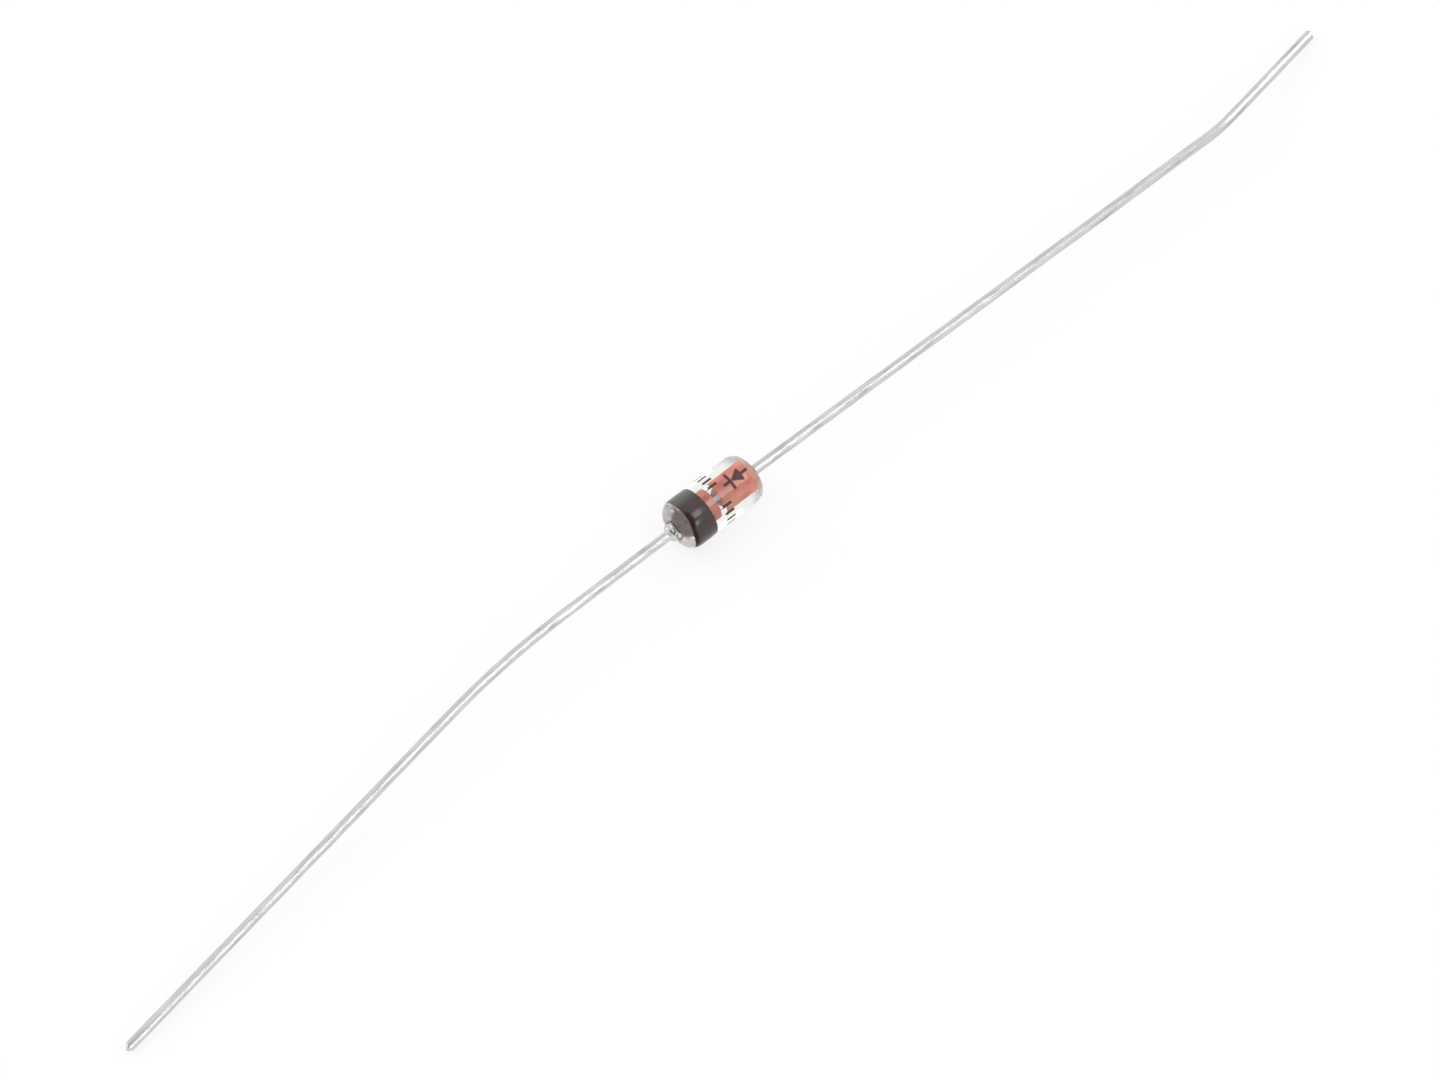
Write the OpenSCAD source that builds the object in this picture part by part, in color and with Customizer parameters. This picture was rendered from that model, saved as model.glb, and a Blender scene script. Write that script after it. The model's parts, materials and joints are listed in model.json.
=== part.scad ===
// Axial glass diode, lying on a flat surface as it comes to rest: on its band and its two lead tips.
// +X runs along the glass from the cathode to the anode, and +Z is up.
// The origin is the point of the surface under the middle of the glass. Millimetres and degrees.

/* [Glass] */
// Outside diameter of the glass
body_d = 1.95; // [1.8:0.05:2.4]
// Length of the glass from end to end
body_l = 3.6; // [3.2:0.1:5]
// Radius of the fire-rounded ends of the glass
end_round = 0.48; // [0.2:0.02:0.5]
// Width of the flare where the bore opens at each end
mouth_flare = 0.04; // [0.02:0.01:0.08]

/* [Plugs] */
// Diameter of the two plugs that the glass is fused to
slug_d = 0.78; // [0.7:0.02:0.9]
// Depth of each plug's outer face inside the end of the glass
slug_set_back = 0.08; // [0.06:0.01:0.2]
// Chamfer on the edges of the plugs
slug_chamfer = 0.03; // [0.01:0.01:0.06]

/* [Chip] */
// Side of the square chip
die_side = 0.36; // [0.24:0.02:0.46]
// Thickness of the chip
die_t = 0.16; // [0.12:0.02:0.4]
// Diameter of the contact bump on the chip
bump_d = 0.2; // [0.1:0.02:0.3]
// Height of the contact bump
bump_h = 0.08; // [0.04:0.02:0.2]

/* [Cathode band] */
// Distance from the cathode end of the glass to the band
band_from_end = 0.32; // [0.1:0.02:0.8]
// Width of the band
band_w = 0.86; // [0.4:0.02:1.4]
// Thickness of the ink
ink_t = 0.02; // [0.01:0.005:0.04]

/* [Lead wire] */
// Diameter of the lead wire
lead_d = 0.38; // [0.34:0.02:0.56]
// Angle of the two flats on a cut tip to the wire
tip_deg = 45; // [30:1:60]
// Loss of radius where the wire is stretched by its bend
bend_thinning = 0.004; // [0.002:0.001:0.01]
// Gap round the weld knot, between it and the bore
knot_gap = 0.05; // [0.02:0.01:0.08]
// Rounding of the weld knot's shoulder
knot_round = 0.24; // [0.1:0.02:0.24]

/* [Cathode lead] */
// Length of the weld knot from the plug outwards
cathode_knot_l = 0.44; // [0.2:0.02:0.6]
// Angle between the wire and the glass, seen from above and away from the bend
cathode_skew_deg = 0.2; // [0:0.1:2]
// Straight length from the glass to the bend
cathode_root_l = 5.4; // [2:0.1:12]
// Bend radius at the wire's centre
cathode_bend_r = 36.5; // [5:0.5:45]
// Bend angle
cathode_bend_deg = 8.4; // [6:0.2:20]
// Straight length from the bend to the tip
cathode_end_l = 17.2; // [10:0.1:24]
// Width of the land between the flats of the tip
cathode_tip_land = 0.06; // [0.02:0.02:0.3]

/* [Anode lead] */
// Length of the weld knot from the plug outwards
anode_knot_l = 0.28; // [0.2:0.02:0.6]
// Angle between the wire and the glass, seen from above and away from the bend
anode_skew_deg = 1.1; // [0:0.1:2]
// Straight length from the glass to the bend
anode_root_l = 22; // [10:0.1:24]
// Bend radius at the wire's centre
anode_bend_r = 6; // [3:0.1:20]
// Bend angle
anode_bend_deg = 15; // [12:0.2:30]
// Straight length from the bend to the tip
anode_end_l = 5.2; // [4:0.1:10]
// Width of the land between the flats of the tip
anode_tip_land = 0.26; // [0.02:0.02:0.3]

/* [Hidden] */

$fn = 96;
// Overrun of a cutting shape past the face that it cuts
cut = 0.1;
// Overlap of a straight stretch of wire with its bend, and its start inside the weld knot
lap = 0.05;

body_r = body_d / 2;
slug_r = slug_d / 2;
lead_r = lead_d / 2;
knot_r = slug_r - knot_gap;
// The shoulder of a weld knot is rounded down to a short straight foot
knot_foot = 0.02;
// The rounding leaves a narrow flat ring round the flared mouth of the bore
end_ring = 0.02;
end_r = min(end_round, body_r - slug_r - mouth_flare - end_ring);
// The chip and its bump fill the gap between the plugs, and the gap is at the middle of the glass
gap_l = die_t + bump_h;
slug_l = body_l / 2 - slug_set_back - gap_l / 2;
// The band stands proud of the glass, so the diode rests on the band
axis_z = body_r + ink_t;

// Sine of the angle by which a bend's plane leans down, so that the tip meets the surface.
// The tip lies reach off the line of the root, and the round of the wire there comes down to z = 0.
function lean_sine(reach, deg) =
    let (slope = sin(deg), left = reach * reach - slope * slope * (axis_z * axis_z - lead_r * lead_r))
    min(1, (axis_z * reach - lead_r * sqrt(max(0, left))) / (reach * reach + pow(lead_r * slope, 2)));

// Distance of a tip from the line of its wire's root
function tip_reach(bend_r, deg, end_l) = bend_r * (1 - cos(deg)) + end_l * sin(deg);

// Length of the flats of a tip, which run in from the outside of the wire to its land
function tip_l(land) = (lead_r - land / 2) / tan(tip_deg);

// Puts a shape drawn about Z on the body's axis, with its +Z along +X
module on_axis(x = 0) {
    translate([x, 0, axis_z]) rotate([0, 90, 0]) children();
}

// Half section of a round bar with rounded ends, centred on the origin
module rounded_section(radius, length, corner) {
    translate([0, -length / 2]) square([radius - corner, length]);
    translate([0, corner - length / 2]) square([radius, length - 2 * corner]);
    for (side = [-1, 1]) translate([radius - corner, side * (length / 2 - corner)]) circle(corner);
}

// Round bar with both edges chamfered, standing on z = 0
module chamfered_bar(radius, length, chamfer) {
    cylinder(h = chamfer, r1 = radius - chamfer, r2 = radius);
    translate([0, 0, chamfer]) cylinder(h = length - 2 * chamfer, r = radius);
    translate([0, 0, length - chamfer]) cylinder(h = chamfer, r1 = radius, r2 = radius - chamfer);
}

// Straight wire along +X from the origin
module wire(length) {
    rotate([0, 90, 0]) cylinder(h = length, r = lead_r);
}

// Straight end of a lead along +X from the origin, pinched off by side cutters. A narrow land leaves
// a chisel tip, and a wide one a blunt tip.
module cut_end(length, land) {
    difference() {
        translate([-lap, 0, 0]) wire(lap + length);
        for (turn = [0, 180]) rotate([turn, 0, 0])
            translate([length - tip_l(land), lead_r, -lead_d]) rotate(-tip_deg) translate([-cut, 0, 0])
                cube([2 * cut + lead_d / sin(tip_deg), lead_d, 2 * lead_d]);
    }
}

// Weld knot about +Z from its seat on the plug, with a rounded shoulder
module weld_knot(length) {
    corner = min(knot_round, length - knot_foot);
    rotate_extrude() intersection() {
        rounded_section(knot_r, 2 * length, corner);
        square([knot_r, length]);
    }
}

// Wire along +X from the weld at the origin, bent towards +Y, with that bend leaning down to the surface
module bent_wire(root_l, bend_r, bend_deg, end_l, tip_land) {
    bend_x = slug_set_back + root_l;
    lean = asin(lean_sine(tip_reach(bend_r, bend_deg, end_l), bend_deg));
    rotate([-lean, 0, 0]) {
        translate([lap, 0, 0]) wire(bend_x);
        translate([bend_x, bend_r, 0]) rotate(-90)
            rotate_extrude(angle = bend_deg) translate([bend_r, 0]) circle(lead_r - bend_thinning);
        translate([bend_x + bend_r * sin(bend_deg), bend_r * (1 - cos(bend_deg)), 0]) rotate(bend_deg)
            cut_end(end_l, tip_land);
    }
}

// Lead at the +X end of the glass, with its wire standing a little askew in its weld knot
module lead(knot_l, skew_deg, root_l, bend_r, bend_deg, end_l, tip_land) {
    translate([body_l / 2 - slug_set_back, 0, axis_z]) {
        rotate([0, 90, 0]) weld_knot(knot_l);
        rotate(-skew_deg) bent_wire(root_l, bend_r, bend_deg, end_l, tip_land);
    }
}

// Clear glass sleeve fused to the plugs
module glass_envelope() {
    color([0.86, 0.92, 0.88, 0.45]) on_axis() difference() {
        rotate_extrude() rounded_section(body_r, body_l, end_r);
        cylinder(h = body_l + 2 * cut, r = slug_r, center = true);
        for (turn = [0, 180]) rotate([turn, 0, 0]) translate([0, 0, body_l / 2 - mouth_flare])
            cylinder(h = mouth_flare + cut, r1 = slug_r, r2 = slug_r + mouth_flare + cut);
    }
}

// Ink ring that follows the outside of the glass
module cathode_band() {
    color([0.16, 0.15, 0.16]) on_axis() rotate_extrude() intersection() {
        difference() {
            rounded_section(body_r + ink_t, body_l + 2 * ink_t, end_r + ink_t);
            rounded_section(body_r, body_l, end_r);
        }
        translate([0, band_from_end - body_l / 2]) square([body_d, band_w]);
    }
}

// Plug under the chip
module cathode_slug() {
    color([0.8, 0.45, 0.36]) on_axis(slug_set_back - body_l / 2)
        chamfered_bar(slug_r, slug_l, slug_chamfer);
}

// Plug against the contact bump
module anode_slug() {
    color([0.84, 0.5, 0.4]) on_axis(gap_l / 2)
        chamfered_bar(slug_r, slug_l, slug_chamfer);
}

// Square chip that sits on the inner face of the cathode plug
module silicon_die() {
    color([0.35, 0.35, 0.38]) on_axis(die_t / 2 - gap_l / 2)
        cube([die_side, die_side, die_t], center = true);
}

// Bump on the chip that meets the inner face of the anode plug
module contact_bump() {
    color([0.85, 0.85, 0.83]) on_axis(die_t - gap_l / 2)
        cylinder(h = bump_h, d = bump_d);
}

// Lead at the banded end, which is the anode's lead turned half a turn about Z
module cathode_lead() {
    color([0.78, 0.78, 0.77]) rotate(180)
        lead(cathode_knot_l, cathode_skew_deg, cathode_root_l, cathode_bend_r, cathode_bend_deg,
             cathode_end_l, cathode_tip_land);
}

// Lead at the plain end
module anode_lead() {
    color([0.78, 0.78, 0.77])
        lead(anode_knot_l, anode_skew_deg, anode_root_l, anode_bend_r, anode_bend_deg,
             anode_end_l, anode_tip_land);
}

glass_envelope();
cathode_band();
cathode_slug();
anode_slug();
silicon_die();
contact_bump();
cathode_lead();
anode_lead();
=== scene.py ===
import json
import math

import bmesh
import bpy
from mathutils import Matrix, Vector, noise


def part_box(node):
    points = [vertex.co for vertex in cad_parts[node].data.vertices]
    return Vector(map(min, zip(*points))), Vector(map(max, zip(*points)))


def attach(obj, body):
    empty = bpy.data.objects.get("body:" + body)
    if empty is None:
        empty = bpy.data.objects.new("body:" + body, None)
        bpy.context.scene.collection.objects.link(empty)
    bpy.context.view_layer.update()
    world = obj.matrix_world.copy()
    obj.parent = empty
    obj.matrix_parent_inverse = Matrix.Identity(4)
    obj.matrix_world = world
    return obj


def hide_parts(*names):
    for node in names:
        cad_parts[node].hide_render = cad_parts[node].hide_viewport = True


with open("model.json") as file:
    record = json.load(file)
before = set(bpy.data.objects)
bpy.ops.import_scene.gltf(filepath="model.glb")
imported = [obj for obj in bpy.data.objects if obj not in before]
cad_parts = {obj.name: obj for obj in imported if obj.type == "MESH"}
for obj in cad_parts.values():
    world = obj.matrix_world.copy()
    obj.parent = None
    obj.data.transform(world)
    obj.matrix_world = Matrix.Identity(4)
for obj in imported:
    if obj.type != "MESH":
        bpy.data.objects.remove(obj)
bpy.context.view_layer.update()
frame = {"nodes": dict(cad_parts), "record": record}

# Sizes that the frame gives, in metres
MM = 0.001
glass_low, glass_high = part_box("glass_envelope")
band_low, band_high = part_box("cathode_band")
cathode_slug_low, cathode_slug_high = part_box("cathode_slug")
anode_slug_low, anode_slug_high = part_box("anode_slug")
mounts = {m["name"]: m for m in frame["record"]["mounts"]}
BODY_L = glass_high.x - glass_low.x
BODY_R = (glass_high.z - glass_low.z) / 2
AXIS_Z = (glass_high.z + glass_low.z) / 2
SLUG_R = (anode_slug_high.z - anode_slug_low.z) / 2
INK_T = (band_high.z - band_low.z) / 2 - BODY_R
LEAD_R = mounts["anode_lead_end"]["dims"]["r_mm"] * MM

# Sizes that the solids also have
END_ROUND = 0.48 * MM
MOUTH_FLARE = 0.04 * MM
SLUG_CHAMFER = 0.03 * MM
KNOT_R = 0.34 * MM
KNOT_ROUND = 0.24 * MM
CATHODE_KNOT_L = 0.44 * MM
ANODE_KNOT_L = 0.28 * MM
CATHODE_TIP_LAND = 0.06 * MM
ANODE_TIP_LAND = 0.26 * MM
TIP_SLOPE = math.tan(math.radians(45))

# Fineness of the meshes: steps round a piece, and along it
BODY_ROUND_STEPS = 144
GLASS_ARC_STEPS = 16
GLASS_STEPS = 24
BAND_STEPS = 30
STROKE_STEPS = 24
STROKE_COLUMNS = 5
SLUG_ROUND_STEPS = 96
SLUG_STEPS = 20
WIRE_ROUND_STEPS = 36
KNOT_STEPS = 30
WIRE_STEPS = 170
TIP_STEPS = 8
SHARP_DEG = 40
MERGE_DISTANCE = 1e-5 * MM
SEED_STEP = 17.3


# Meshes

def mesh_object(name, verts, faces):
    """A closed mesh as a smooth-shaded object, with its sharp edges kept sharp."""
    bm = bmesh.new()
    made = [bm.verts.new(v) for v in verts]
    for face in faces:
        bm.faces.new([made[i] for i in face])
    bmesh.ops.remove_doubles(bm, verts=bm.verts, dist=MERGE_DISTANCE)
    bmesh.ops.recalc_face_normals(bm, faces=bm.faces)
    mesh = bpy.data.meshes.new(name)
    bm.to_mesh(mesh)
    bm.free()
    for polygon in mesh.polygons:
        polygon.use_smooth = True
    mesh.set_sharp_from_angle(angle=math.radians(SHARP_DEG))
    obj = bpy.data.objects.new(name, mesh)
    bpy.context.scene.collection.objects.link(obj)
    return obj


def spread(start, end, steps):
    """Evenly spaced values from start to end, both included."""
    return [start + (end - start) * i / steps for i in range(steps + 1)]


def turns(steps):
    """Evenly spaced angles once round."""
    return [2 * math.pi * i / steps for i in range(steps)]


def ripple(a, b, c, seed):
    """Smooth noise between about -1 and 1."""
    return noise.noise(Vector((a, b, c + SEED_STEP * seed)))


def on_body(x, radius, turn):
    """The point at x along the glass, at a radius from its axis, turned about it from straight up."""
    return Vector((x, -radius * math.sin(turn), AXIS_Z + radius * math.cos(turn)))


def from_axis(place):
    """Distance of a place from the glass axis."""
    return math.hypot(place.y, place.z - AXIS_Z)


def turned(name, section_at, closed=True, steps=BODY_ROUND_STEPS):
    """A body turned about the glass axis. section_at(turn) gives its (x, radius) points."""
    sections = [section_at(turn) for turn in turns(steps)]
    count = len(sections[0])
    verts = [on_body(x, r, turn) for turn, section in zip(turns(steps), sections) for x, r in section]
    faces = []
    for i in range(steps):
        here = i * count
        there = (i + 1) % steps * count
        for j in range(count if closed else count - 1):
            k = (j + 1) % count
            faces.append((here + j, there + j, there + k, here + k))
    return mesh_object(name, verts, faces)


def tube_faces(rings, ring):
    """Faces of a closed tube of that many rings, each with its points in the order of ring."""
    size = len(ring)
    faces = []
    for i in range(rings - 1):
        here = i * size
        there = here + size
        for j, k in zip(ring, ring[1:] + ring[:1]):
            faces.append((here + j, here + k, there + k, there + j))
    last = (rings - 1) * size
    return faces + [tuple(ring), tuple(last + j for j in ring)]


# Glass sleeve

def glass_radius(x):
    """Outside radius of the glass at x, round ends included."""
    past = abs(x) - (BODY_L / 2 - END_ROUND)
    if past <= 0:
        return BODY_R
    return BODY_R - END_ROUND + math.sqrt(max(0.0, END_ROUND ** 2 - past ** 2))


def glass_section():
    """Half section of the sleeve as one closed loop: the outside from end to end, then the bore."""
    half = BODY_L / 2
    flat = BODY_R - END_ROUND
    arc = spread(0, math.pi / 2, GLASS_ARC_STEPS)
    right = [(half - END_ROUND + END_ROUND * math.sin(a), flat + END_ROUND * math.cos(a)) for a in arc]
    left = [(-x, r) for x, r in reversed(right)]
    straight = spread(END_ROUND - half, half - END_ROUND, GLASS_STEPS)[1:-1]
    outside = left + [(x, BODY_R) for x in straight] + right
    mouth = SLUG_R + MOUTH_FLARE
    stops = [half - MOUTH_FLARE, anode_slug_high.x, anode_slug_low.x,
             cathode_slug_high.x, cathode_slug_low.x, MOUTH_FLARE - half]
    bore = [(half, mouth)] + [(x, SLUG_R) for x in stops] + [(-half, mouth)]
    return outside + bore


def glass_look(place):
    """Index of the sleeve's material: 0 clear, 1 where it is fused to a plug, 2 at a mouth of the bore."""
    out = abs(place.x)
    chamber_end = anode_slug_low.x
    seal_end = anode_slug_high.x
    if from_axis(place) < SLUG_R + MOUTH_FLARE / 5 and chamber_end < out < seal_end:
        return 1
    if from_axis(place) < SLUG_R + MOUTH_FLARE and out > seal_end:
        return 2
    return 0


def make_glass():
    section = glass_section()
    glass = turned("glass_sleeve", lambda turn: section)
    for look in (clear_glass(), fused_joint(), fired_rim()):
        glass.data.materials.append(look)
    for face in glass.data.polygons:
        face.material_index = glass_look(face.center)
    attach(glass, "root")
    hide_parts("glass_envelope")


# Band of ink: it is thin at its edges, which wander a little, and has run towards the end at one side

INK_GAP = 0.001 * MM
INK_DOME = 0.8
EDGE_WANDER = 0.012 * MM
EDGE_WAVES = 2.2
START_SEED = 1
END_SEED = 2
INK_RUN = 0.13 * MM
INK_RUN_TURN = math.radians(82)


def band_section(turn):
    """Section of the ink film at one place round the glass."""
    around = (EDGE_WAVES * math.cos(turn), EDGE_WAVES * math.sin(turn))
    run = INK_RUN * max(0.0, math.cos(turn - INK_RUN_TURN)) ** 2
    start = band_low.x + EDGE_WANDER * ripple(*around, 0, START_SEED) - run
    end = band_high.x + EDGE_WANDER * ripple(*around, 0, END_SEED)
    places = spread(start, end, BAND_STEPS)
    film = []
    for x in places:
        across = 2 * (x - start) / (end - start) - 1
        film.append((x, glass_radius(x) + INK_T * (1 - INK_DOME * across ** 2)))
    return film + [(x, glass_radius(x) + INK_GAP) for x in reversed(places)]


def make_band():
    band = turned("cathode_band_ink", band_section)
    for look in (ink(), pale_painted_ink_underside()):
        band.data.materials.append(look)
    for face in band.data.polygons:
        if from_axis(face.center) < glass_radius(face.center.x) + 2 * INK_GAP:
            face.material_index = 1
    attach(band, "root")
    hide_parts("cathode_band")


# Print: places in millimetres along x and degrees round the glass

PRINT_T = 0.008 * MM
PRINT_STROKE = 0.11 * MM
PRINT_TURN = math.radians(25)
LEAST_ROUNDING = 0.1
SYMBOL_TURN = -12
ARROW_WIDTH = 0.60 * MM
ARROW_TIP_WIDTH = 0.04 * MM
BAR_X = 0.64
BAR_HALF_TURN = 21
TICK_ENDS = (-0.18, 0.24)
TICK_TURNS = (-82, -64, -46, -28, 24, 42, 60, 78)


def print_stroke(name, start, end, start_width=PRINT_STROKE, end_width=PRINT_STROKE):
    """One stroke of print on the glass between two places, with round ends."""
    start, end = [Vector((x * MM, BODY_R * math.radians(turn))) for x, turn in (start, end)]
    way = end - start
    side = Vector((-way.y, way.x)).normalized() / 2
    rounding = PRINT_STROKE / 2 / way.length
    verts = []
    for u in spread(0, 1, STROKE_STEPS):
        past = max(0.0, 1 - min(u, 1 - u) / rounding)
        width = start_width + (end_width - start_width) * u
        width *= max(LEAST_ROUNDING, math.sqrt(1 - past * past))
        for height in (PRINT_T, INK_GAP):
            for edge in spread(-1, 1, STROKE_COLUMNS - 1):
                x, arc = start + way * u + side * (width * edge)
                verts.append(on_body(x, BODY_R + height, PRINT_TURN + arc / BODY_R))
    ring = [*range(STROKE_COLUMNS), *reversed(range(STROKE_COLUMNS, 2 * STROKE_COLUMNS))]
    stroke = mesh_object(name, verts, tube_faces(STROKE_STEPS + 1, ring))
    stroke.data.materials.append(print_ink())
    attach(stroke, "root")


def make_print():
    """Plain diode symbol, with its bar towards the band, and a row of ticks round the glass."""
    turn = SYMBOL_TURN
    print_stroke("print_anode_line", (1.44, turn), (1.12, turn))
    print_stroke("print_arrow", (1.16, turn), (0.70, turn), ARROW_WIDTH, ARROW_TIP_WIDTH)
    print_stroke("print_bar", (BAR_X, turn - BAR_HALF_TURN), (BAR_X, turn + BAR_HALF_TURN))
    print_stroke("print_cathode_line", (BAR_X, turn), (0.34, turn))
    for number, turn in enumerate(TICK_TURNS, 1):
        print_stroke(f"print_tick_{number}", (TICK_ENDS[0], turn), (TICK_ENDS[1], turn))


# Copper-clad plugs

def make_slug(name, node, low, high):
    near = [(low.x, 0.0), (low.x, SLUG_R - SLUG_CHAMFER), (low.x + SLUG_CHAMFER, SLUG_R)]
    straight = spread(low.x + SLUG_CHAMFER, high.x - SLUG_CHAMFER, SLUG_STEPS)[1:-1]
    far = [(high.x - SLUG_CHAMFER, SLUG_R), (high.x, SLUG_R - SLUG_CHAMFER), (high.x, 0.0)]
    section = near + [(x, SLUG_R) for x in straight] + far
    slug = turned(name, lambda turn: section, closed=False, steps=SLUG_ROUND_STEPS)
    slug.data.materials.append(copper())
    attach(slug, "root")
    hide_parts(node)


# Wire leads: heights, lengths and counts round the wire of the lumps of weld and tin, and the wire's sway

WELD_LUMP = 0.55
WELD_LUMP_L = 0.13 * MM
WELD_WAVES = 1.8
TIN_LUMP = 0.003 * MM
TIN_LUMP_L = 0.9 * MM
TIN_WAVES = 1.2
TIN_SEED = 3
WIRE_SWAY = 0.012 * MM
SWAY_UP_L = 4 * MM
SWAY_ACROSS_L = 5 * MM
KNOT_MARGIN = 1.1


def tip_length(land):
    """Length of the flats that side cutters leave on a tip, down to the land between them."""
    return (LEAD_R - land / 2) / TIP_SLOPE


def lead_path(mount, seat_x, land):
    """Centre line of a lead from its seat on the plug to its tip.

    Gives a function from a length along it to (point, direction), its total length and the bend's axis.
    """
    end_dir = Vector(mount["axis"]).normalized()
    middle = Vector(mount["pos_m"])
    half = mount["dims"]["length_mm"] * MM / 2
    end_start = middle - end_dir * half
    seat = Vector((seat_x, 0, AXIS_Z))
    corner = middle + end_dir * ((AXIS_Z - middle.z) / end_dir.z)
    out = (corner - seat).normalized()
    tangent = (end_start - corner).length
    angle = out.angle(end_dir)
    radius = tangent / math.tan(angle / 2)
    side = (end_dir - out * end_dir.dot(out)).normalized()
    bend_start = corner - out * tangent
    root = (bend_start - seat).length
    bend = radius * angle
    total = root + bend + 2 * half + tip_length(land)
    square_on = Vector((math.copysign(1, seat_x), 0, 0))

    def at(s):
        if s < root:
            return seat + out * s, square_on.lerp(out, min(1.0, s / KNOT_ROUND)).normalized()
        if s < root + bend:
            a = (s - root) / radius
            point = bend_start + out * (radius * math.sin(a)) + side * (radius * (1 - math.cos(a)))
            return point, out * math.cos(a) + side * math.sin(a)
        return end_start + end_dir * (s - root - bend), end_dir

    return at, total, out.cross(side)


def knot_height(s, knot_l):
    """How far the weld knot stands out from the wire at a length along the lead."""
    past = max(0.0, s - (knot_l - KNOT_ROUND))
    dome = math.sqrt(max(0.0, KNOT_ROUND ** 2 - past ** 2)) - KNOT_ROUND
    return max(0.0, KNOT_R + dome - LEAD_R)


def lead_radius(s, turn, knot_l, seed):
    """Radius of the lead at a length along it and a turn about it, with the lumps of weld and tin."""
    c, d = math.cos(turn), math.sin(turn)
    knot = knot_height(s, knot_l)
    weld = WELD_LUMP * knot * ripple(WELD_WAVES * c, WELD_WAVES * d, s / WELD_LUMP_L, seed)
    tin = TIN_LUMP * ripple(TIN_WAVES * c, TIN_WAVES * d, s / TIN_LUMP_L, seed + TIN_SEED)
    return LEAD_R + knot + weld + tin


def lead_ring(s, total, knot_l, land, seed):
    """Points round a lead at a length along it, up and across from its centre, with the tip's flats."""
    flat = land / 2 + (total - s) * TIP_SLOPE
    ring = []
    for turn in turns(WIRE_ROUND_STEPS):
        r = lead_radius(s, turn, knot_l, seed)
        ring.append((min(flat, max(-flat, r * math.cos(turn))), r * math.sin(turn)))
    return ring


def lead_stops(knot_l, total, land):
    """Lengths along a lead where its mesh has a ring: close together on the weld knot and on the tip."""
    knot_end = KNOT_MARGIN * knot_l
    tip = total - tip_length(land)
    knot = spread(0, knot_end, KNOT_STEPS)[:-1]
    wire = spread(knot_end, tip, WIRE_STEPS)[:-1]
    return knot + wire + spread(tip, total, TIP_STEPS)


def make_lead(name, node, mount, seat_x, knot_l, land, seed):
    """A lead, with each point's place on the straightened wire, in millimetres, for its material."""
    at, total, across = lead_path(mount, seat_x, land)
    stops = lead_stops(knot_l, total, land)
    verts, wire = [], []
    for s in stops:
        point, way = at(s)
        up = way.cross(across)
        sway = WIRE_SWAY * math.sin(math.pi * s / total)
        point = point + up * (sway * ripple(s / SWAY_UP_L, 0, 0, seed))
        point = point + across * (sway * ripple(s / SWAY_ACROSS_L, 0, 0, seed + 1))
        for u, v in lead_ring(s, total, knot_l, land, seed):
            verts.append(point + up * u + across * v)
            wire.append((s / MM, u / MM, v / MM))
    lead = mesh_object(name, verts, tube_faces(len(stops), list(range(WIRE_ROUND_STEPS))))
    straightened = lead.data.attributes.new("wire", "FLOAT_VECTOR", "POINT")
    for item, value in zip(straightened.data, wire):
        item.vector = value
    lead.data.materials.append(tinned_wire())
    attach(lead, "root")
    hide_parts(node)


# Materials: places in millimetres, and noise in cells per metre, or per millimetre along a wire

GLASS_IOR = 1.53
INK_IOR = 1.62
GLASS_WAVE = 0.0012 * MM
INK_WAVE = 0.0012 * MM
COPPER_GRAIN = 0.0015 * MM
TIN_GRAIN = 0.006 * MM
NOISE_ROUGHNESS = 0.55
NOISE_LOW = 0.3
NOISE_HIGH = 0.7
# Sockets of a Mix node that blends colours
MIX_SHARE, MIX_FIRST, MIX_SECOND, MIX_RESULT = 0, 6, 7, 2

made_materials = {}


def material(name, build):
    """The material of that name, built the first time it is asked for."""
    if name not in made_materials:
        made_materials[name] = bpy.data.materials.new(name)
        build(Nodes(made_materials[name]))
    return made_materials[name]


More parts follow.
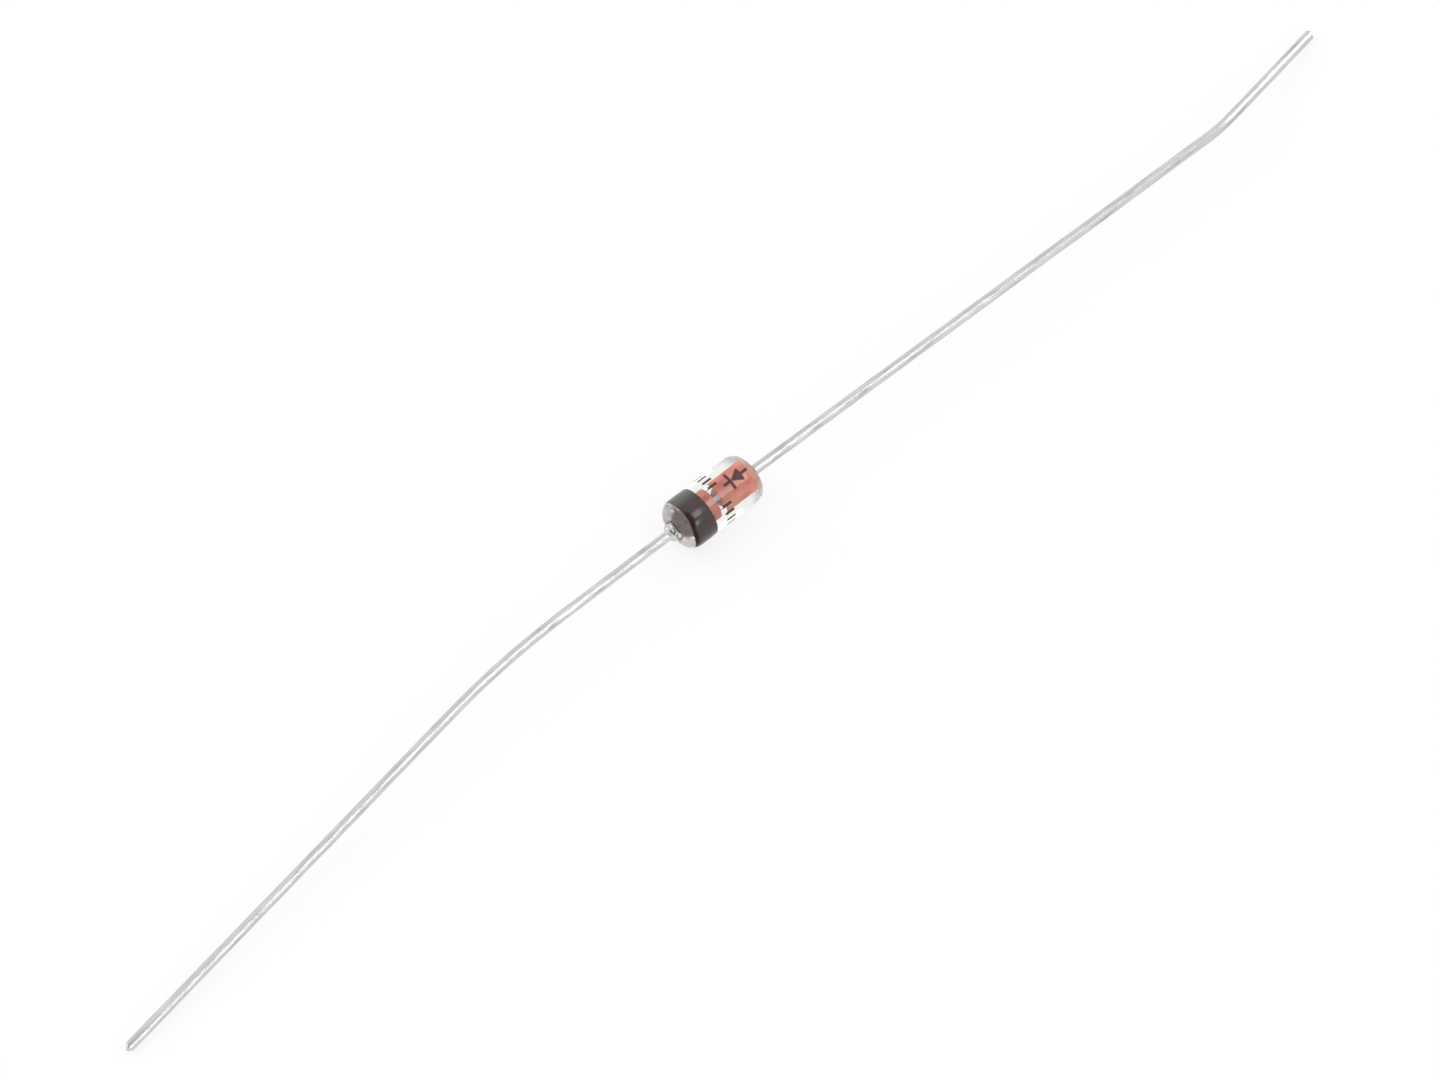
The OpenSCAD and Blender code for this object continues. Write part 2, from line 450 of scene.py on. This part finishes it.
class Nodes:
    """A node tree, with short calls for the nodes that the materials and the stage share."""

    def __init__(self, owner):
        owner.use_nodes = True
        self.tree = owner.node_tree
        self.shader = self.tree.nodes.get("Principled BSDF")

    def add(self, kind, **settings):
        node = self.tree.nodes.new(kind)
        for key, value in settings.items():
            setattr(node, key, value)
        return node

    def link(self, source, target):
        self.tree.links.new(source, target)

    def set(self, **values):
        """Plain values on the shader."""
        for key, value in values.items():
            self.shader.inputs[key.replace("_", " ")].default_value = value

    def drive(self, target, source):
        """A value on the shader that comes from another node."""
        self.link(source, self.shader.inputs[target])

    def place(self, attribute=None):
        """Coordinates in metres, or a mesh attribute's vectors."""
        if attribute:
            return self.add("ShaderNodeAttribute", attribute_name=attribute).outputs["Vector"]
        return self.add("ShaderNodeTexCoord").outputs["Object"]

    def noise(self, place, scale, detail=4.0):
        """Noise at scale cells per unit along x, y and z."""
        mapping = self.add("ShaderNodeMapping")
        mapping.inputs["Scale"].default_value = scale
        self.link(place, mapping.inputs["Vector"])
        texture = self.add("ShaderNodeTexNoise")
        texture.inputs["Scale"].default_value = 1.0
        texture.inputs["Detail"].default_value = detail
        texture.inputs["Roughness"].default_value = NOISE_ROUGHNESS
        self.link(mapping.outputs["Vector"], texture.inputs["Vector"])
        return texture.outputs["Fac"]

    def ramp(self, source, stops):
        """Colours, or greys for a number, spread over a source from 0 to 1."""
        ramp = self.add("ShaderNodeValToRGB")
        elements = ramp.color_ramp.elements
        while len(elements) < len(stops):
            elements.new(0.5)
        for element, (at, value) in zip(elements, stops):
            element.position = at
            element.color = (*value, 1) if isinstance(value, tuple) else (value, value, value, 1)
        self.link(source, ramp.inputs["Fac"])
        return ramp.outputs["Color"]

    def between(self, source, low, high):
        """Colours or numbers from low to high, over the values that noise mostly has."""
        return self.ramp(source, [(NOISE_LOW, low), (NOISE_HIGH, high)])

    def remap(self, source, from_low, from_high, to_low=0.0, to_high=1.0):
        """A number carried over from one range to another."""
        carry = self.add("ShaderNodeMapRange")
        carry.inputs["From Min"].default_value = from_low
        carry.inputs["From Max"].default_value = from_high
        carry.inputs["To Min"].default_value = to_low
        carry.inputs["To Max"].default_value = to_high
        self.link(source, carry.inputs["Value"])
        return carry.outputs["Result"]

    def over(self, axis, length, stops):
        """Values at places along an axis, over a length about the middle of the glass."""
        split = self.add("ShaderNodeSeparateXYZ")
        self.link(self.place(), split.inputs["Vector"])
        share = self.remap(split.outputs[axis], -length / 2, length / 2)
        return self.ramp(share, [(place * MM / length + 0.5, value) for place, value in stops])

    def along_body(self, stops):
        return self.over("X", BODY_L, stops)

    def across_body(self, stops):
        return self.over("Y", 2 * BODY_R, stops)

    def mix(self, share, first, second):
        """Blend of two colours, from the first at a share of 0 to the second at 1."""
        blend = self.add("ShaderNodeMix", data_type="RGBA")
        self.link(share, blend.inputs[MIX_SHARE])
        self.link(first, blend.inputs[MIX_FIRST])
        self.link(second, blend.inputs[MIX_SECOND])
        return blend.outputs[MIX_RESULT]

    def bump(self, source, height):
        """Bump of that height in metres."""
        bump = self.add("ShaderNodeBump")
        bump.inputs["Strength"].default_value = 1.0
        bump.inputs["Distance"].default_value = height
        self.link(source, bump.inputs["Height"])
        self.drive("Normal", bump.outputs["Normal"])


def clear_glass():
    """Clear in the middle and milky at the anode end; at the other end a grey tint is painted shade, darker
    towards +Y.
    """
    def build(n):
        n.set(IOR=GLASS_IOR)
        clear, milky = (0.95, 0.985, 0.965), (0.98, 0.995, 1.0)
        # Painted shade: the glass is greyed at the cathode end, and more so towards +Y
        painted_shade = n.across_body([(-0.5, (0.72, 0.69, 0.69)), (0.3, (0.42, 0.415, 0.405))])
        painted_shade_share = n.along_body([(-1.62, 1.0), (-1.25, 0.0)])
        n.drive("Base Color", n.mix(painted_shade_share, n.along_body([(1.3, clear), (1.6, milky)]), painted_shade))
        firing = [(-1.72, 0.32), (-1.5, 0.06), (-1.4, 0.0), (1.25, 0.0), (1.6, 0.6)]
        n.drive("Roughness", n.along_body(firing))
        clearness = [(-1.65, 0.86), (-1.25, 1.0), (1.3, 1.0), (1.6, 0.9)]
        n.drive("Transmission Weight", n.along_body(clearness))
        n.bump(n.noise(n.place(), (900, 1800, 1800), detail=2), GLASS_WAVE)
    return material("clear_glass", build)


def fused_joint():
    """Where the glass is fused to a plug there is no air between them, so light passes straight on."""
    return material("fused_joint", lambda n: n.set(Alpha=0.0))


def fired_rim():
    """Glass round each mouth of the bore, frosted where the tube was cut and the weld ran against it."""
    def build(n):
        n.set(IOR=GLASS_IOR, Transmission_Weight=0.35)
        clouds = n.noise(n.place(), (4000, 4000, 4000))
        n.drive("Base Color", n.between(clouds, (0.55, 0.53, 0.52), (0.78, 0.76, 0.75)))
        n.drive("Roughness", n.between(n.noise(n.place(), (9000, 9000, 9000)), 0.35, 0.6))
    return material("fired_rim", build)


def ink():
    """Brown-black glossy ink, with a painted sheen that makes it greyer above the back, and dull where it
    has run past the band's edge.
    """
    def build(n):
        place = n.place()
        n.set(IOR=INK_IOR)
        n.drive("Specular IOR Level", n.along_body([(-1.5, 0.1), (-1.43, 0.5)]))
        clouds = n.noise(place, (2500, 5000, 5000))
        front = n.between(clouds, (0.022, 0.009, 0.008), (0.044, 0.019, 0.016))
        # Painted sheen: the paler grey above the back stands in for light falling on that side
        back = n.between(clouds, (0.070, 0.066, 0.066), (0.100, 0.096, 0.096))
        share = n.across_body([(0.1, 0.0), (0.42, 1.0), (0.7, 1.0), (0.93, 0.3)])
        n.drive("Base Color", n.mix(share, front, back))
        n.drive("Roughness", n.between(n.noise(place, (4000, 4000, 4000)), 0.09, 0.18))
        n.bump(n.noise(place, (3000, 5000, 5000), detail=2), INK_WAVE)
    return material("glossy_ink_painted_sheen", build)


def pale_painted_ink_underside():
    """Underside of the band, as it shows through the glass: matt, and painted paler than its face, which
    stands in for light seen through the glass.
    """
    def build(n):
        n.set(Roughness=0.8)
        clouds = n.noise(n.place(), (2500, 5000, 5000))
        # Painted light: a pale grey in place of the ink's own dark colour
        n.drive("Base Color", n.between(clouds, (0.40, 0.385, 0.38), (0.50, 0.485, 0.48)))
    return material("pale_painted_ink_underside", build)


def print_ink():
    """The band's ink in a thinner coat, which lets a little of the colour behind it through."""
    def build(n):
        n.set(IOR=1.5, Roughness=0.3, Alpha=0.84)
        clouds = n.noise(n.place(), (9000, 9000, 9000))
        n.drive("Base Color", n.between(clouds, (0.050, 0.022, 0.018), (0.100, 0.042, 0.034)))
    return material("print_ink", build)


def copper():
    """Salmon copper, blotchy with oxide, and greyed by the weld at the outer end of the plug."""
    def build(n):
        place = n.place()
        n.set(Metallic=0.12, IOR=1.5)
        blotches = n.noise(place, (1300, 3000, 3000), detail=6)
        tones = [(0.3, (0.67, 0.16, 0.132)), (0.5, (0.93, 0.298, 0.2)), (0.7, (0.99, 0.455, 0.32))]
        bright = n.ramp(blotches, tones)
        dull = n.between(blotches, (0.27, 0.21, 0.21), (0.41, 0.34, 0.335))
        share = n.along_body([(-1.45, 1.0), (-1.0, 0.0), (1.6, 0.0), (1.75, 1.0)])
        n.drive("Base Color", n.mix(share, bright, dull))
        n.drive("Roughness", n.between(n.noise(place, (900, 9000, 9000)), 0.45, 0.62))
        n.bump(n.noise(place, (700, 16000, 16000), detail=2), COPPER_GRAIN)
    return material("salmon_copper", build)


def tinned_wire():
    """Bright tin with dull patches, drawn out along the wire."""
    def build(n):
        place = n.place("wire")
        n.set(Metallic=1.0)
        tones = [(0.28, (0.36, 0.36, 0.355)), (0.42, (0.56, 0.56, 0.55)), (0.7, (0.70, 0.70, 0.69))]
        n.drive("Base Color", n.ramp(n.noise(place, (0.9, 8, 8), detail=6), tones))
        n.drive("Roughness", n.between(n.noise(place, (1.4, 12, 12)), 0.12, 0.3))
        n.bump(n.noise(place, (2.2, 14, 14), detail=3), TIN_GRAIN)
    return material("tinned_wire", build)


def silicon():
    def build(n):
        n.set(Metallic=0.8, Roughness=0.2)
        clouds = n.noise(n.place(), (9000, 9000, 9000))
        n.drive("Base Color", n.between(clouds, (0.13, 0.13, 0.15), (0.24, 0.25, 0.28)))
    return material("polished_silicon", build)


def silver():
    def build(n):
        place = n.place()
        n.set(Metallic=1.0)
        clouds = n.noise(place, (12000, 12000, 12000))
        n.drive("Base Color", n.between(clouds, (0.7, 0.69, 0.66), (0.86, 0.85, 0.82)))
        n.drive("Roughness", n.between(n.noise(place, (16000, 16000, 16000)), 0.25, 0.45))
    return material("silver", build)


# Stage: white floor and studio, with lamps. Directions are (azimuth, elevation) in degrees.

FLOOR_HALF = 0.6
FLOOR_GLOW = 0.8
FLOOR_COLOUR = (0.2, 0.2, 0.2, 1)
WORLD_LIGHT = 0.8
DIM_PLACE = (-42, 58)
DIM_INSIDE = math.radians(32)
DIM_OUTSIDE = math.radians(41)
DIM_LIGHT = 0.25
LAMP_DISTANCE = 0.3
# Each lamp's name, the directions of its two ends, its height in metres and its radiance
LAMPS = (
    ("window", (30.6, 50.4), (60, 68), 0.035, 2.8),
    ("fill", (4, 33.5), (21, 30.8), 0.09, 2.6),
    ("side", (105, 45), (61, 28), 0.04, 3.0),
    ("back", (194, 17), (222, 50), 0.025, 12.0),
)


def direction(azimuth, elevation):
    """Unit vector from the object towards a place; azimuth 0 is on the -Y side."""
    a, e = math.radians(azimuth), math.radians(elevation)
    return Vector((math.sin(a) * math.cos(e), -math.cos(a) * math.cos(e), math.sin(e)))


def seen_directly(n):
    """1 for camera, mirror and glass rays, 0 for the rays that carry light to surfaces."""
    path = n.add("ShaderNodeLightPath")
    most = path.outputs["Is Camera Ray"]
    for kind in ("Is Glossy Ray", "Is Transmission Ray"):
        larger = n.add("ShaderNodeMath", operation="MAXIMUM")
        n.link(most, larger.inputs[0])
        n.link(path.outputs[kind], larger.inputs[1])
        most = larger.outputs[0]
    return most


def floor_paint():
    """Matt paint that also glows where it is seen directly, so that the floor is as white as the studio."""
    def build(n):
        n.tree.nodes.remove(n.shader)
        matte = n.add("ShaderNodeBsdfDiffuse")
        matte.inputs["Color"].default_value = FLOOR_COLOUR
        strength = n.add("ShaderNodeMath", operation="MULTIPLY")
        strength.inputs[1].default_value = FLOOR_GLOW
        n.link(seen_directly(n), strength.inputs[0])
        glow = n.add("ShaderNodeEmission")
        n.link(strength.outputs[0], glow.inputs["Strength"])
        both = n.add("ShaderNodeAddShader")
        n.link(matte.outputs["BSDF"], both.inputs[0])
        n.link(glow.outputs["Emission"], both.inputs[1])
        n.link(both.outputs["Shader"], n.tree.nodes["Material Output"].inputs["Surface"])
    return material("floor", build)


def make_floor():
    corners = [(-1, -1), (1, -1), (1, 1), (-1, 1)]
    mesh = bpy.data.meshes.new("floor")
    mesh.from_pydata([(x * FLOOR_HALF, y * FLOOR_HALF, 0) for x, y in corners], [], [(0, 1, 2, 3)])
    mesh.materials.append(floor_paint())
    floor = bpy.data.objects.new("floor", mesh)
    bpy.context.scene.collection.objects.link(floor)


def studio_walls(n):
    """Light that comes straight from each part of the studio: full, but less about its dim place."""
    towards_dim = n.add("ShaderNodeVectorMath", operation="DOT_PRODUCT")
    towards_dim.inputs[1].default_value = direction(*DIM_PLACE)
    n.link(n.add("ShaderNodeTexCoord").outputs["Generated"], towards_dim.inputs[0])
    edges = (math.cos(DIM_OUTSIDE), math.cos(DIM_INSIDE))
    return n.remap(towards_dim.outputs["Value"], *edges, 1.0, DIM_LIGHT)


def make_world():
    """White studio that mirrors and glass see, and even light for the rest."""
    world = bpy.data.worlds.new("studio")
    bpy.context.scene.world = world
    n = Nodes(world)
    strength = n.add("ShaderNodeMapRange")
    strength.inputs["To Min"].default_value = WORLD_LIGHT
    n.link(studio_walls(n), strength.inputs["To Max"])
    n.link(seen_directly(n), strength.inputs["Value"])
    background = n.tree.nodes["Background"]
    background.inputs["Color"].default_value = (1, 1, 1, 1)
    n.link(strength.outputs["Result"], background.inputs["Strength"])


def make_softbox(name, start, end, height, radiance):
    """Soft lamp as bright as radiance all over. Its long side runs between two directions."""
    start, end = direction(*start), direction(*end)
    along = (end - start).normalized()
    back = (start + end).normalized()
    light = bpy.data.lights.new(name, "AREA")
    light.shape = "RECTANGLE"
    light.size = LAMP_DISTANCE * 2 * math.tan(start.angle(end) / 2)
    light.size_y = height
    light.energy = radiance * math.pi * light.size * light.size_y
    lamp = bpy.data.objects.new(name, light)
    turn = Matrix((along, back.cross(along), back)).transposed()
    lamp.matrix_world = Matrix.LocRotScale(back * LAMP_DISTANCE, turn.to_quaternion(), None)
    bpy.context.scene.collection.objects.link(lamp)


# Camera of the photograph: where it looks, from where, and how wide
CAMERA_AIM = Vector((-0.880 * MM, -1.373 * MM, AXIS_Z))
CAMERA_PLACE = (-42.02, 58)
CAMERA_DISTANCE = 0.320
CAMERA_WIDTH_DEG = 9.150
CAMERA_CLIP = 0.01


def make_camera():
    data = bpy.data.cameras.new("camera")
    data.sensor_fit = "HORIZONTAL"
    data.angle = math.radians(CAMERA_WIDTH_DEG)
    data.clip_start = CAMERA_CLIP
    camera = bpy.data.objects.new("camera", data)
    way = direction(*CAMERA_PLACE)
    camera.location = CAMERA_AIM + way * CAMERA_DISTANCE
    camera.rotation_euler = way.to_track_quat("Z", "Y").to_euler()
    bpy.context.scene.collection.objects.link(camera)
    bpy.context.scene.camera = camera


# Everything in its place
make_glass()
make_band()
make_print()
make_slug("cathode_plug", "cathode_slug", cathode_slug_low, cathode_slug_high)
make_slug("anode_plug", "anode_slug", anode_slug_low, anode_slug_high)
make_lead("cathode_wire", "cathode_lead", mounts["cathode_lead_end"], cathode_slug_low.x,
          CATHODE_KNOT_L, CATHODE_TIP_LAND, 1)
make_lead("anode_wire", "anode_lead", mounts["anode_lead_end"], anode_slug_high.x,
          ANODE_KNOT_L, ANODE_TIP_LAND, 2)
for node, finish in (("silicon_die", silicon()), ("contact_bump", silver())):
    frame["nodes"][node].data.materials.clear()
    frame["nodes"][node].data.materials.append(finish)

make_floor()
make_world()
for lamp in LAMPS:
    make_softbox(*lamp)
make_camera()
bpy.context.scene.view_settings.view_transform = "Standard"
# Light that is trapped in the glass takes many turns before it comes out
light_paths = bpy.context.scene.cycles
light_paths.max_bounces = 32
light_paths.glossy_bounces = 24
light_paths.transmission_bounces = 32
